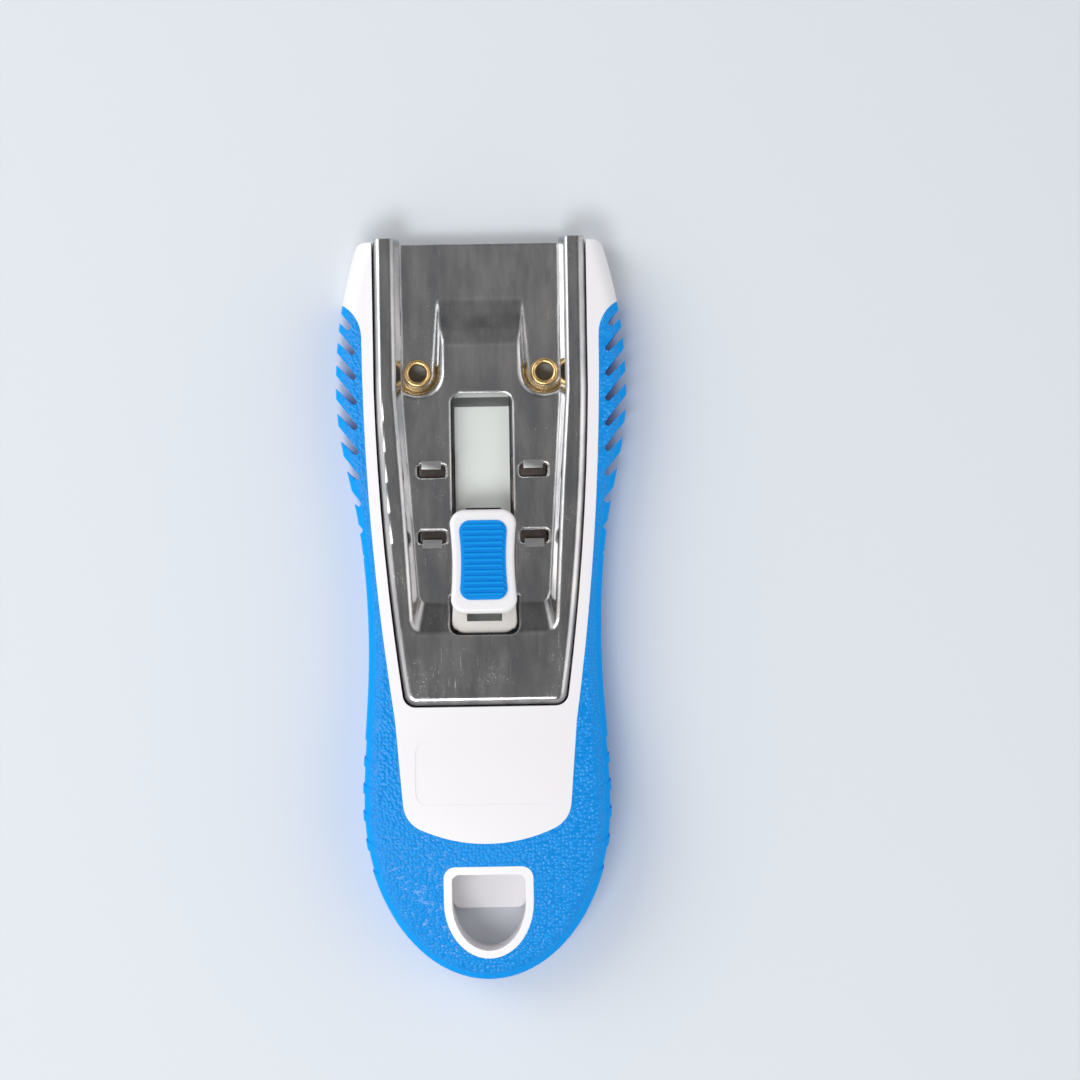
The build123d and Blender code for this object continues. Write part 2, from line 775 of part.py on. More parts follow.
# Blade: a ground single-edge strip, waisted at the back, that drops over the two studs
with BuildPart() as blade:
    with BuildSketch(Plane.YZ):
        with BuildLine():
            Polyline(
                (blade_rear_y, yoke_top_z),
                (blade_rear_y, yoke_top_z + blade_thickness),
                (blade_edge_y - blade_bevel, yoke_top_z + blade_thickness),
                (blade_edge_y, yoke_top_z + (blade_thickness + blade_edge_thickness) / 2),
                (blade_edge_y, yoke_top_z + (blade_thickness - blade_edge_thickness) / 2),
                (blade_edge_y - blade_bevel, yoke_top_z),
                close=True,
            )
        make_face()
    extrude(amount=blade_width / 2, both=True)
    chamfer(blade.edges().filter_by(Axis.Z).group_by(Axis.Y)[0], blade_corner)
    with BuildSketch(Plane.XY):
        with Locations((-stud_x, stud_y), (stud_x, stud_y)):
            Circle(stud_diameter / 2 + stud_fit)
        with Locations((0, blade_rear_y)):
            RectangleRounded(2 * blade_waist_half, 2 * blade_waist_depth, blade_corner)
    extrude(amount=panel_z, mode=Mode.SUBTRACT)

# Studs riveted in the yoke, which locate the blade
with BuildPart() as blade_studs:
    stud_height = yoke_top_z + blade_thickness + stud_head - yoke_z
    with Locations((-stud_x, stud_y, yoke_z), (stud_x, stud_y, yoke_z)):
        Cylinder(stud_diameter / 2, stud_height, align=(Align.CENTER, Align.CENTER, Align.MIN))
    chamfer(blade_studs.edges().group_by(Axis.Z)[-1], stud_chamfer)


def waisted_outline(half, waist, front_y, rear_y, corner):
    """Button shape: a rounded rectangle drawn in at the middle."""
    middle_y = (front_y + rear_y) / 2
    with BuildSketch() as plan:
        with BuildLine():
            rear = Line((0, rear_y), (half, rear_y))
            side = ThreePointArc(rear @ 1, (half - waist, middle_y), (half, front_y))
            Line(side @ 1, (0, front_y))
            mirror(about=Plane.YZ)
        make_face()
        fillet(plan.vertices().group_by(Axis.Y)[0], corner)
        fillet(plan.vertices().group_by(Axis.Y)[-1], corner)
    return plan.sketch


# Slider base: collar on the panel, with a front foot and a rear hook on the tongue
with BuildPart() as slider_base:
    with BuildSketch(Plane.XY.offset(collar_z)):
        add(waisted_outline(collar_half, collar_waist, collar_front_y, collar_rear_y, collar_corner_radius))
    extrude(amount=collar_thickness)
    fillet(slider_base.faces().sort_by(Axis.Z)[-1].edges(), cap_round / 2)
    with BuildSketch(Plane.XY.offset(tongue_top_z)):
        with Locations((0, foot_mid_y)):
            Rectangle(2 * foot_half, foot_depth)
        with Locations((0, collar_rear_y + hook_inset + hook_depth / 2)):
            Rectangle(2 * foot_half, hook_depth)
    extrude(amount=collar_z - tongue_top_z)
    front_window = (leg_front_y + leg_thickness / 2 + leg_fit, leg_front_y - leg_thickness / 2 - leg_fit)
    rear_window = (leg_rear_y + leg_thickness / 2 + leg_fit, leg_window_rear_y)
    with BuildSketch(Plane.XY.offset(collar_z)):
        for ahead_y, behind_y in (front_window, rear_window):
            with Locations((0, (ahead_y + behind_y) / 2)):
                Rectangle(2 * (leg_half + leg_fit), ahead_y - behind_y)
    extrude(amount=collar_thickness, mode=Mode.SUBTRACT)
    with BuildSketch(Plane.XY.offset(tongue_top_z)):
        with Locations((-rivet_x, foot_mid_y), (rivet_x, foot_mid_y)):
            Circle(rivet_diameter / 2)
    extrude(amount=collar_top_z - tongue_top_z, mode=Mode.SUBTRACT)

# Rivets that hold the slider base on the tongue
with BuildPart() as slider_rivets:
    rivet_foot_z = tongue_top_z - carrier_sheet
    with Locations((-rivet_x, foot_mid_y, rivet_foot_z), (rivet_x, foot_mid_y, rivet_foot_z)):
        Cylinder(
            rivet_diameter / 2,
            collar_top_z - rivet_foot_z,
            align=(Align.CENTER, Align.CENTER, Align.MIN),
        )
    with Locations((-rivet_x, foot_mid_y, collar_top_z), (rivet_x, foot_mid_y, collar_top_z)):
        Cylinder(rivet_head / 2, rivet_head_height, align=(Align.CENTER, Align.CENTER, Align.MIN))
    fillet(slider_rivets.edges().group_by(Axis.Z)[-1], rivet_head_height / 2)

# Button cap: a hollow waisted hood with a sunk seat for the pad and two legs through the collar
with BuildPart() as slider_cap:
    with BuildSketch(Plane.XY.offset(cap_z)):
        add(waisted_outline(cap_half, cap_waist, cap_front_y, cap_rear_y, cap_corner_radius))
    extrude(amount=cap_height)
    fillet(slider_cap.faces().sort_by(Axis.Z)[-1].edges(), cap_round)
    with BuildSketch(Plane.XY.offset(cap_z)):
        add(
            waisted_outline(
                cap_half - cap_wall,
                cap_waist,
                cap_front_y - cap_wall,
                cap_rear_y + cap_wall,
                cap_corner_radius - cap_wall,
            )
        )
    extrude(amount=cap_height - cap_roof, mode=Mode.SUBTRACT)
    with BuildSketch(Plane.XY.offset(cap_top_z - pad_sink)):
        add(waisted_outline(pad_half, pad_waist, pad_front_y, pad_rear_y, pad_corner_radius))
    extrude(amount=pad_sink, mode=Mode.SUBTRACT)
    with BuildSketch(Plane.XY.offset(lock_top_z)):
        with Locations((0, leg_front_y), (0, leg_rear_y)):
            Rectangle(2 * leg_half, leg_thickness)
    extrude(amount=cap_roof_z - lock_top_z)

# Ribbed pad moulded into the cap
with BuildPart() as slider_pad:
    with BuildSketch(Plane.XY.offset(cap_top_z - pad_sink)):
        add(waisted_outline(pad_half, pad_waist, pad_front_y, pad_rear_y, pad_corner_radius))
    extrude(amount=pad_sink + pad_crown)
    rib_pitch = (pad_front_y - pad_rear_y - 2 * rib_margin) / (rib_count - 1)
    with BuildSketch(Plane.XY.offset(pad_top_z)):
        for rib in range(rib_count):
            with Locations((0, pad_rear_y + rib_margin + rib * rib_pitch)):
                Rectangle(2 * pad_half, rib_width)
        add(
            waisted_outline(pad_half - rib_margin / 2, pad_waist, pad_front_y, pad_rear_y, pad_corner_radius),
            mode=Mode.INTERSECT,
        )
    extrude(amount=rib_height)

# Lock plate carried on the two legs, between the walls of the guide channel
with BuildPart() as lock_plate:
    plate_front_y = leg_front_y + leg_thickness / 2
    plate_rear_y = leg_rear_y - leg_thickness / 2
    with BuildSketch(Plane.XY.offset(lock_z)):
        with Locations((0, (plate_front_y + plate_rear_y) / 2)):
            RectangleRounded(2 * lock_half, plate_front_y - plate_rear_y, bracket_corner_radius)
    extrude(amount=lock_sheet)

# Bowed leaf spring between the collar and the roof of the cap
with BuildPart() as button_spring:
    spring_front_y = leg_front_y - leg_thickness / 2 - spring_margin
    spring_rear_y = leg_rear_y + leg_thickness / 2 + spring_margin
    spring_mid_y = (spring_front_y + spring_rear_y) / 2
    with BuildSketch(Plane.YZ):
        with BuildLine():
            ThreePointArc(
                (spring_rear_y, collar_top_z), (spring_mid_y, cap_roof_z), (spring_front_y, collar_top_z)
            )
            Line((spring_front_y, collar_top_z), (spring_front_y - spring_foot, collar_top_z))
            ThreePointArc(
                (spring_front_y - spring_foot, collar_top_z),
                (spring_mid_y, cap_roof_z - spring_sheet),
                (spring_rear_y + spring_foot, collar_top_z),
            )
            Line((spring_rear_y + spring_foot, collar_top_z), (spring_rear_y, collar_top_z))
        make_face()
    extrude(amount=spring_half, both=True)

# Lower shell: back plate in the grip's ring, with the seat of the head and the ledge in the hang hole
with BuildSketch() as ledge:
    with Locations((0, ledge_front_y)):
        Rectangle(
            2 * ring_bore_radius,
            ring_top_y - ledge_front_y + overrun,
            align=(Align.CENTER, Align.MIN),
        )
    fillet(ledge.vertices().group_by(Axis.Y)[0], ledge_corner_radius)

with BuildPart() as handle_back:
    with BuildSketch():
        add(handle_outline(grip_side_wall))
        with Locations((0, back_front_y)):
            Rectangle(
                2 * half_length, half_length, align=(Align.CENTER, Align.MIN), mode=Mode.SUBTRACT
            )
    extrude(amount=back_thickness)
    chamfer(handle_back.faces().sort_by(Axis.Z)[0].edges().sort_by(Axis.Y)[:-1], back_edge_chamfer)
    with BuildSketch(Plane.XY.offset(base_z)):
        add(cover_outline(-pocket_fit))
    extrude(amount=back_thickness, mode=Mode.SUBTRACT)
    with BuildSketch():
        add(ring_outline(0))
        add(ledge.sketch, mode=Mode.SUBTRACT)
    extrude(amount=back_thickness, mode=Mode.SUBTRACT)
    body_screw_places = [
        (screw_x, screw_front_y),
        (-screw_x, screw_front_y),
        (screw_tail_x, screw_tail_y),
        (-screw_tail_x, screw_tail_y),
    ]
    screw_seat_z = screw_sink + screw_head_height
    with BuildSketch():
        with Locations(*body_screw_places):
            Circle(screw_diameter / 2)
    extrude(amount=back_thickness, mode=Mode.SUBTRACT)
    with Locations((0, head_screw_y, 0)):
        Cone(
            screw_head / 2,
            screw_diameter / 2,
            base_z,
            align=(Align.CENTER, Align.CENTER, Align.MIN),
            mode=Mode.SUBTRACT,
        )
    with BuildSketch():
        with Locations(*body_screw_places):
            Circle(screw_head / 2 + plate_fit)
    extrude(amount=screw_seat_z, mode=Mode.SUBTRACT)

# Upper shell: white tray and cheeks, the substrate under the grip and the ring of the hang hole
with BuildPart() as substrate:
    add(handle_body(grip_side_wall, grip_top_wall, back_thickness))
    with BuildSketch():
        with Locations((0, substrate_front_y)):
            Rectangle(2 * half_length, half_length, align=(Align.CENTER, Align.MIN))
    extrude(amount=crest_reach, mode=Mode.SUBTRACT)

with BuildPart() as ring:
    add(handle_body())
    with BuildSketch():
        add(ring_outline(ring_wall))
    extrude(amount=crest_reach, mode=Mode.INTERSECT)

with BuildPart() as shell_form:
    add(handle_body())
    with BuildSketch():
        add(shell_outline())
    extrude(amount=crest_reach, mode=Mode.INTERSECT)
    add(substrate.part)
    add(ring.part)

with BuildPart() as badge_field:
    with BuildSketch():
        with Locations((0, badge_y)):
            RectangleRounded(2 * badge_half, badge_height, badge_corner_radius)
    extrude(amount=crest_reach)
    add(handle_body(0, badge_depth), mode=Mode.SUBTRACT)

with BuildPart() as handle_core:
    add(shell_form.part)
    add(badge_field.part, mode=Mode.SUBTRACT)
    with BuildSketch():
        add(handle_outline())
        add(handle_outline(0, cheek_corner_radius), mode=Mode.SUBTRACT)
    extrude(amount=crest_reach, mode=Mode.SUBTRACT)
    with BuildSketch(Plane.XY.offset(-overrun)):
        with Locations((0, back_front_y)):
            Rectangle(2 * half_length, 2 * half_length, align=(Align.CENTER, Align.MAX))
    extrude(amount=back_thickness + overrun, mode=Mode.SUBTRACT)
    with BuildSketch(Plane.XY.offset(base_z)):
        add(cover_outline(-pocket_fit, half_length + overrun))
    extrude(amount=crest_reach, mode=Mode.SUBTRACT)
    with BuildSketch(Plane.XY.offset(-overrun)):
        add(cover_outline(2 * sheet, half_length + overrun))
    extrude(amount=crest_reach, mode=Mode.SUBTRACT)
    with BuildSketch():
        add(ring_outline(0))
    extrude(amount=crest_reach, mode=Mode.SUBTRACT)
    with BuildSketch(Plane.XY.offset(back_thickness)):
        with Locations(*body_screw_places):
            Circle(screw_diameter / 2)
    extrude(amount=screw_length - back_thickness + screw_seat_z, mode=Mode.SUBTRACT)


def notch_outline():
    """One gap between two fins: round at the root, wider at the mouth."""
    reach = 2 * fin_depth + overrun
    with BuildSketch() as plan:
        with BuildLine():
            Polyline(
                (0, -fin_gap / 2),
                (reach, -fin_gap / 2),
                (reach, fin_gap / 2 + reach * fin_flare_share),
                (0, fin_gap / 2),
                close=True,
            )
        make_face()
        Circle(fin_gap / 2)
    return plan.sketch


# Sunk fields between the raised bands of the palm
with BuildPart() as band_gaps:
    with BuildSketch():
        for band in range(band_count):
            band_y = band_first_y - band * band_pitch
            with Locations(Location((band_inner_half, band_y, 0), (0, 0, band_slant))):
                Rectangle(band_length, band_gap, align=(Align.MIN, Align.CENTER))
        mirror(about=Plane.YZ)
    extrude(amount=crest_reach)
    add(handle_body(band_depth, band_depth * band_fade_share), mode=Mode.SUBTRACT)

# Soft grip: moulded round the shell, finned at the shoulders and banded at the palm
with BuildPart() as grip_sleeve:
    add(handle_body(0, 0, grip_floor_gap))
    add(shell_form.part, mode=Mode.SUBTRACT)
    with BuildSketch():
        add(handle_outline(grip_side_wall))
        with Locations((0, back_front_y)):
            Rectangle(2 * half_length, half_length, align=(Align.CENTER, Align.MIN), mode=Mode.SUBTRACT)
    extrude(amount=back_thickness, mode=Mode.SUBTRACT)
    with BuildSketch():
        first_place = (fin_root_half + fin_first_inset, fin_first_y)
        fin_places = [
            (fin_root_half - fin * fin_drift, fin_first_y - fin * fin_pitch)
            for fin in range(1, fin_count)
        ]
        step_places = [
            (step_root_half - step * step_drift, step_first_y - step * step_pitch)
            for step in range(step_count)
        ]
        for place in (first_place, *fin_places, *step_places):
            with Locations(Location((*place, 0), (0, 0, fin_slant))):
                add(notch_outline())
        mirror(about=Plane.YZ)
    extrude(amount=crest_reach, mode=Mode.SUBTRACT)
    add(band_gaps.part, mode=Mode.SUBTRACT)

# Screws of the lower shell, and the one that holds the head on its seat
with BuildPart() as body_screws:
    with Locations(*[(x, y, screw_sink) for x, y in body_screw_places]):
        Cylinder(screw_head / 2, screw_head_height, align=(Align.CENTER, Align.CENTER, Align.MIN))
        Cylinder(screw_diameter / 2, screw_length, align=(Align.CENTER, Align.CENTER, Align.MIN))

with BuildPart() as head_screw:
    with Locations((0, head_screw_y, 0)):
        Cone(
            screw_head / 2,
            screw_diameter / 2,
            base_z - plate_fit,
            align=(Align.CENTER, Align.CENTER, Align.MIN),
        )
        Cylinder(
            screw_diameter / 2,
            base_top_z + nut_collar_height,
            align=(Align.CENTER, Align.CENTER, Align.MIN),
        )
    split(bisect_by=Plane.XY.offset(screw_sink))

for piece, name in (
    (cover_plate, "cover_plate"),
    (base_plate, "base_plate"),
    (eyelets["eyelet_left"], "eyelet_left"),
    (eyelets["eyelet_right"], "eyelet_right"),
    (guide_bracket, "guide_bracket"),
    (blade_carrier, "blade_carrier"),
    (blade, "blade"),
    (blade_studs, "blade_studs"),
    (slider_base, "slider_base"),
    (slider_rivets, "slider_rivets"),
    (slider_cap, "slider_cap"),
    (slider_pad, "slider_pad"),
    (lock_plate, "lock_plate"),
    (button_spring, "button_spring"),
    (handle_back, "handle_back"),
    (handle_core, "handle_core"),
    (grip_sleeve, "grip_sleeve"),
    (body_screws, "body_screws"),
    (head_screw, "head_screw"),
):
    save(piece, name)
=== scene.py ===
"""Looks of a glass and hob scraper: bright stamped head, white moulded handle and blue soft grip."""

import math

import bmesh
import bpy
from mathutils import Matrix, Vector


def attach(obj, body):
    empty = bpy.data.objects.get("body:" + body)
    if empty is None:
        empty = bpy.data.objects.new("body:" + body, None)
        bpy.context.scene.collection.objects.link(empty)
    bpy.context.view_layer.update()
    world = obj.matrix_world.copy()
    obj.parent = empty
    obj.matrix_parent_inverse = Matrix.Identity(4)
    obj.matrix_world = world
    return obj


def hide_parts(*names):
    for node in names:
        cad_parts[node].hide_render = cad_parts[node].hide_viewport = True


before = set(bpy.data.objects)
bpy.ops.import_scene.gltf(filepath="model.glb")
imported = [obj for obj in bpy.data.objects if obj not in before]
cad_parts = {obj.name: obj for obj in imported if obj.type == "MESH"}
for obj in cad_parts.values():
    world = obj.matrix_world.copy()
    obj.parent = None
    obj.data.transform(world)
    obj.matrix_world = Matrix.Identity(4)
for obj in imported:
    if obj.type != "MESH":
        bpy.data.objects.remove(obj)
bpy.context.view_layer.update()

# Upper shell of the handle: white ABS, injection-moulded as one tray with two cheeks.
# Its skin is finely spark-eroded, so it is satin rather than glossy, and it carries
# a shallow bare badge field and the ring of the hang hole.
MM = 0.001
ABS_WHITE = "f1eff2"
SPARK_GRAIN_MM = 0.22
SPARK_RELIEF = 0.25
HANDLED_PATCH_MM = 14
BEND_SAMPLES = 6


def linear(hex_colour):
    """An sRGB hex colour as the linear values that shaders take."""
    channels = [int(hex_colour[i : i + 2], 16) / 255 for i in (0, 2, 4)]
    return [c / 12.92 if c <= 0.04045 else ((c + 0.055) / 1.055) ** 2.4 for c in channels] + [1]


def add_node(tree, kind, settings=None, inputs=None):
    """Add one node with its settings, and its inputs as values or as links from other sockets."""
    node = tree.nodes.new(kind)
    for name, value in (settings or {}).items():
        setattr(node, name, value)
    for name, value in (inputs or {}).items():
        if isinstance(value, bpy.types.NodeSocket):
            tree.links.new(value, node.inputs[name])
        else:
            node.inputs[name].default_value = value
    return node


def new_material(name, colour, roughness, metallic=0.0, ior=None):
    """A material with its tree and Principled shader, and the place in the tool for its pattern."""
    material = bpy.data.materials.new(name)
    material.use_nodes = True
    tree = material.node_tree
    shader = tree.nodes["Principled BSDF"]
    shader.inputs["Base Color"].default_value = linear(colour)
    shader.inputs["Roughness"].default_value = roughness
    shader.inputs["Metallic"].default_value = metallic
    if ior:
        shader.inputs["IOR"].default_value = ior
    return material, tree, shader, add_node(tree, "ShaderNodeTexCoord").outputs["Object"]


def noise(tree, place, mark_mm, detail, roughness=0.5):
    """A noise whose marks are about mark_mm wide."""
    inputs = {"Vector": place, "Scale": 1 / (mark_mm * MM), "Detail": detail, "Roughness": roughness}
    return add_node(tree, "ShaderNodeTexNoise", inputs=inputs).outputs["Fac"]


def remap(tree, value, low, high, start=0.0, stop=1.0, kind="LINEAR"):
    """The change from start to stop while the value goes from low to high."""
    inputs = {"Value": value, "From Min": low, "From Max": high, "To Min": start, "To Max": stop}
    return add_node(tree, "ShaderNodeMapRange", {"interpolation_type": kind}, inputs).outputs["Result"]


def bump(tree, height, strength, depth_mm, **normal):
    """The normal of a fine relief, on top of another normal if one is given."""
    inputs = {"Strength": strength, "Distance": depth_mm * MM, "Height": height, **normal}
    return add_node(tree, "ShaderNodeBump", inputs=inputs).outputs["Normal"]


def rounded_bends(tree, radius_mm):
    """The normal of the surface with its bends rounded, as the input of a relief."""
    node = add_node(tree, "ShaderNodeBevel", {"samples": BEND_SAMPLES}, {"Radius": radius_mm * MM})
    return {"Normal": node.outputs["Normal"]}


def finish(tree, shader, **patterns):
    """Link the patterns to the shader, each under its input's name with _ for a space."""
    for name, pattern in patterns.items():
        tree.links.new(pattern, shader.inputs[name.replace("_", " ")])


def spark_eroded(name, colour, roughness, depth_mm, bend_mm=0.0, specular=0.5):
    """Moulded thermoplastic whose tool was spark-eroded: an even, very fine grain."""
    material, tree, shader, place = new_material(name, colour, roughness, ior=1.53)
    shader.inputs["Specular IOR Level"].default_value = specular
    grain = noise(tree, place, SPARK_GRAIN_MM, 2.0)
    handled = noise(tree, place, HANDLED_PATCH_MM, 3.0)
    sheen = remap(tree, handled, 0.3, 0.7, roughness - 0.05, roughness + 0.06)
    bends = rounded_bends(tree, bend_mm) if bend_mm else {}
    finish(tree, shader, Roughness=sheen, Normal=bump(tree, grain, SPARK_RELIEF, depth_mm, **bends))
    return material


def dress(node, material):
    """Give a CAD node that has the right shape its finish."""
    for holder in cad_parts[node].material_slots:
        holder.link = "OBJECT"
        holder.material = material


white_abs = spark_eroded("moulded_white_abs", ABS_WHITE, 0.36, 0.02)
dress("handle_core", white_abs)

# Lower shell: the same white ABS, held by four screws from below.
# Its ledge shows inside the hang hole, and its plate is the flat that the tool rests on.
dress("handle_back", white_abs)

# Soft grip: blue thermoplastic rubber, moulded over the shell in a second shot.
# The top carries small round glossy pebbles, and the hollows between them are painted a darker blue as
# shade.
# The fins, steps and bands at the sides are smooth and dull.
GRIP_BLUE = "009bf4"
GRIP_BLUE_PAINTED_SHADE = "0088dc"
PEBBLE_MM = 0.76
PEBBLE_DEPTH_MM = 0.17
PEBBLE_SCATTER = 0.75
PEBBLE_REACH = 0.8
SIDE_UPWARD, TOP_UPWARD = 0.62, 0.86
SIDE_SPECULAR, TOP_SPECULAR = 0.05, 0.32
SIDE_ROUGHNESS, TOP_ROUGHNESS = 0.5, 0.2


def math_node(tree, operation, *values, clamp=False):
    """The result of one Math node."""
    settings = {"operation": operation, "use_clamp": clamp}
    return add_node(tree, "ShaderNodeMath", settings, dict(enumerate(values))).outputs["Value"]


def mixed(tree, factor, first, second):
    """A colour between the first and the second."""
    inputs = {"Factor": factor, "A": linear(first), "B": linear(second)}
    return add_node(tree, "ShaderNodeMix", {"data_type": "RGBA"}, inputs).outputs["Result"]


soft_grip, tree, shader, place = new_material("moulded_blue_tpr", GRIP_BLUE, 0.42, ior=1.5)
pebbles = add_node(
    tree,
    "ShaderNodeTexVoronoi",
    {"feature": "F1"},
    {"Vector": place, "Scale": 1 / (PEBBLE_MM * MM), "Randomness": PEBBLE_SCATTER},
)
dome = remap(tree, pebbles.outputs["Distance"], PEBBLE_REACH, 0.0, kind="SMOOTHSTEP")
facing = add_node(tree, "ShaderNodeNewGeometry").outputs["Normal"]
upward = add_node(tree, "ShaderNodeSeparateXYZ", inputs={0: facing}).outputs["Z"]
top_face = remap(tree, upward, SIDE_UPWARD, TOP_UPWARD, kind="SMOOTHSTEP")
pebble = math_node(tree, "MULTIPLY", dome, top_face)
# Painted shade: on the top face, the hollows between the pebbles take a darker blue.
painted_hollow_shade = math_node(tree, "SUBTRACT", top_face, pebble, clamp=True)
finish(
    tree,
    shader,
    Specular_IOR_Level=remap(tree, top_face, 0.0, 1.0, SIDE_SPECULAR, TOP_SPECULAR),
    Roughness=remap(tree, top_face, 0.0, 1.0, SIDE_ROUGHNESS, TOP_ROUGHNESS),
    Normal=bump(tree, pebble, 1.0, PEBBLE_DEPTH_MM),
    Base_Color=mixed(tree, painted_hollow_shade, GRIP_BLUE, GRIP_BLUE_PAINTED_SHADE),
)
dress("grip_sleeve", soft_grip)

# Stamped cover of the head: one pressed sheet of steel, chromed and polished.
# It mirrors the room. Draw marks and streaks run along it, and where hands dulled it there are
# rubbed specks and hairline scratches. Its bends are rounded, as a press leaves them.
CHROME = "d6d4d3"
CHROME_SHADE = "b3b4b7"
BEND_MM = 0.7
DRAW_MARK_MM = 0.35
DRAW_MARK_STRETCH = 0.04
SMUDGE_MM = 9
STREAK_MM = 4
STREAK_STRETCH = 0.25
RUB_MARK_MM = 0.32
SCRATCH_MM = 0.22
SCRATCH_STRETCH = 0.05
SCRATCH_TURNS = (12, -38, 71)


def stretched(tree, place, share, turn_degrees=0):
    """The place for a pattern that is stretched along the tool, or along a line turned from it."""
    turn = (0, 0, math.radians(turn_degrees))
    inputs = {"Vector": place, "Rotation": turn, "Scale": (1.0, share, 1.0)}
    return add_node(tree, "ShaderNodeMapping", inputs=inputs).outputs["Vector"]


bright_steel, tree, shader, place = new_material("polished_chromed_steel", CHROME, 0.12, metallic=1.0)
draw_marks = noise(tree, stretched(tree, place, DRAW_MARK_STRETCH), DRAW_MARK_MM, 3.0)
smudges = noise(tree, place, SMUDGE_MM, 5.0, 0.65)
rubs = noise(tree, place, RUB_MARK_MM, 2.0, 0.7)
streaks = noise(tree, stretched(tree, place, STREAK_STRETCH), STREAK_MM, 6.0, 0.6)
dulled = remap(tree, smudges, 0.42, 0.72, 0.10, 0.16)
rubbed = remap(tree, rubs, 0.56, 0.74, 0.0, 0.26)
handled = remap(tree, smudges, 0.45, 0.62, 0.15, 0.8)
gloss = math_node(tree, "MULTIPLY_ADD", rubbed, handled, dulled)
for turn_degrees in SCRATCH_TURNS:
    hairs = noise(tree, stretched(tree, place, SCRATCH_STRETCH, turn_degrees), SCRATCH_MM, 1.0)
    gloss = math_node(tree, "ADD", gloss, remap(tree, hairs, 0.7, 0.78, 0.0, 0.12))
finish(
    tree,
    shader,
    Base_Color=mixed(tree, remap(tree, streaks, 0.38, 0.64), CHROME_SHADE, CHROME),
    Roughness=gloss,
    Normal=bump(tree, draw_marks, 0.06, 0.02, **rounded_bends(tree, BEND_MM)),
)
dress("cover_plate", bright_steel)

# Rims of the four tab slots: the punch rolls the edge of the sheet over into a narrow bright bead.
# They belong to the stamping, so they have its chrome. Geometry Nodes sweep one bead at each slot.
PANEL_HEIGHT_MM = 8.4
TAB_SLOT_PLACES_MM = [(x, y, PANEL_HEIGHT_MM) for x in (-10.5, 10.5) for y in (28.3, 14.7)]
RIM_MM = {"Width": 6.1, "Depth": 2.9, "Corner": 0.9, "Bead": 0.13}
CORNER_STEPS = 6
BEAD_STEPS = 10


def node_group(name, inputs):
    """An empty Geometry Nodes group with its named inputs, and its input and output sockets."""
    group = bpy.data.node_groups.new(name, "GeometryNodeTree")
    group.interface.new_socket("Geometry", in_out="INPUT", socket_type="NodeSocketGeometry")
    group.interface.new_socket("Geometry", in_out="OUTPUT", socket_type="NodeSocketGeometry")
    for label in inputs:
        group.interface.new_socket(label, in_out="INPUT", socket_type="NodeSocketFloat")
    given = add_node(group, "NodeGroupInput").outputs
    return group, given, add_node(group, "NodeGroupOutput").inputs


def set_at_places(group, given, instance, ends, material):
    """The end of a group: the instance at each place, made real, with its material."""
    points = {"Points": given["Geometry"], "Instance": instance}
    shape = add_node(group, "GeometryNodeInstanceOnPoints", inputs=points).outputs["Instances"]
    for kind in ("RealizeInstances", "SetShadeSmooth", "SetMaterial"):
        node = add_node(group, f"GeometryNode{kind}", inputs={"Geometry": shape})
        shape = node.outputs["Geometry"]
    node.inputs["Material"].default_value = material
    group.links.new(shape, ends["Geometry"])


def grown(name, places_mm, group, sizes_mm):
    """The piece that a group grows from one point for each place, as a plain mesh."""
    seed = bpy.data.meshes.new(f"{name}_places")
    seed.from_pydata([[value * MM for value in place] for place in places_mm], [], [])
    piece = bpy.data.objects.new(name, seed)
    bpy.context.scene.collection.objects.link(piece)
    growth = piece.modifiers.new("growth", "NODES")
    growth.node_group = group
    for item in group.interface.items_tree:
        if item.name in sizes_mm:
            growth[item.identifier] = sizes_mm[item.name] * MM
    shape = piece.evaluated_get(bpy.context.evaluated_depsgraph_get())
    mesh = bpy.data.meshes.new_from_object(shape)
    piece.modifiers.clear()
    piece.data = mesh
    return piece


group, given, ends = node_group("rolled_rim", RIM_MM)
slot_size = {"Width": given["Width"], "Height": given["Depth"]}
slot_edge = add_node(group, "GeometryNodeCurvePrimitiveQuadrilateral", inputs=slot_size)
corners = {"Curve": slot_edge.outputs["Curve"], "Count": CORNER_STEPS, "Radius": given["Corner"]}
path = add_node(group, "GeometryNodeFilletCurve", {"mode": "POLY"}, corners)
bead_size = {"Resolution": BEAD_STEPS, "Radius": given["Bead"]}
bead = add_node(group, "GeometryNodeCurvePrimitiveCircle", inputs=bead_size)
curves = {"Curve": path.outputs["Curve"], "Profile Curve": bead.outputs["Curve"]}
rim = add_node(group, "GeometryNodeCurveToMesh", inputs=curves)
set_at_places(group, given, rim.outputs["Mesh"], ends, bright_steel)
slot_rims = grown("tab_slot_rims", TAB_SLOT_PLACES_MM, group, RIM_MM)
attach(slot_rims, "handle")

# Base plate: the steel sole of the head, cold-rolled and left plain.
# It shows on the underside, dull grey with fine rolling lines along the tool.
SOLE_STEEL = "a9adb0"
ROLLED_STRETCH = 0.03


def rolled_metal(name, colour, roughness, line_mm, strength):
    """Metal with fine parallel lines along the tool's length."""
    material, tree, shader, place = new_material(name, colour, roughness, metallic=1.0)
    lines = noise(tree, stretched(tree, place, ROLLED_STRETCH), line_mm, 4.0)
    spread = remap(tree, lines, 0.3, 0.7, roughness - 0.08, roughness + 0.08)
    finish(tree, shader, Roughness=spread, Normal=bump(tree, lines, strength, 0.02))
    return material


dress("base_plate", rolled_metal("cold_rolled_steel", SOLE_STEEL, 0.38, 0.2, 0.15))

# Eyelets: drawn brass tubes, rolled over at both ends, which clamp the cover to the base plate.
# The brass is bright, with faint lines from the drawing.
brass = rolled_metal("rolled_brass", "f0cb8c", 0.3, 0.4, 0.04)
dress("eyelet_left", brass)
dress("eyelet_right", brass)

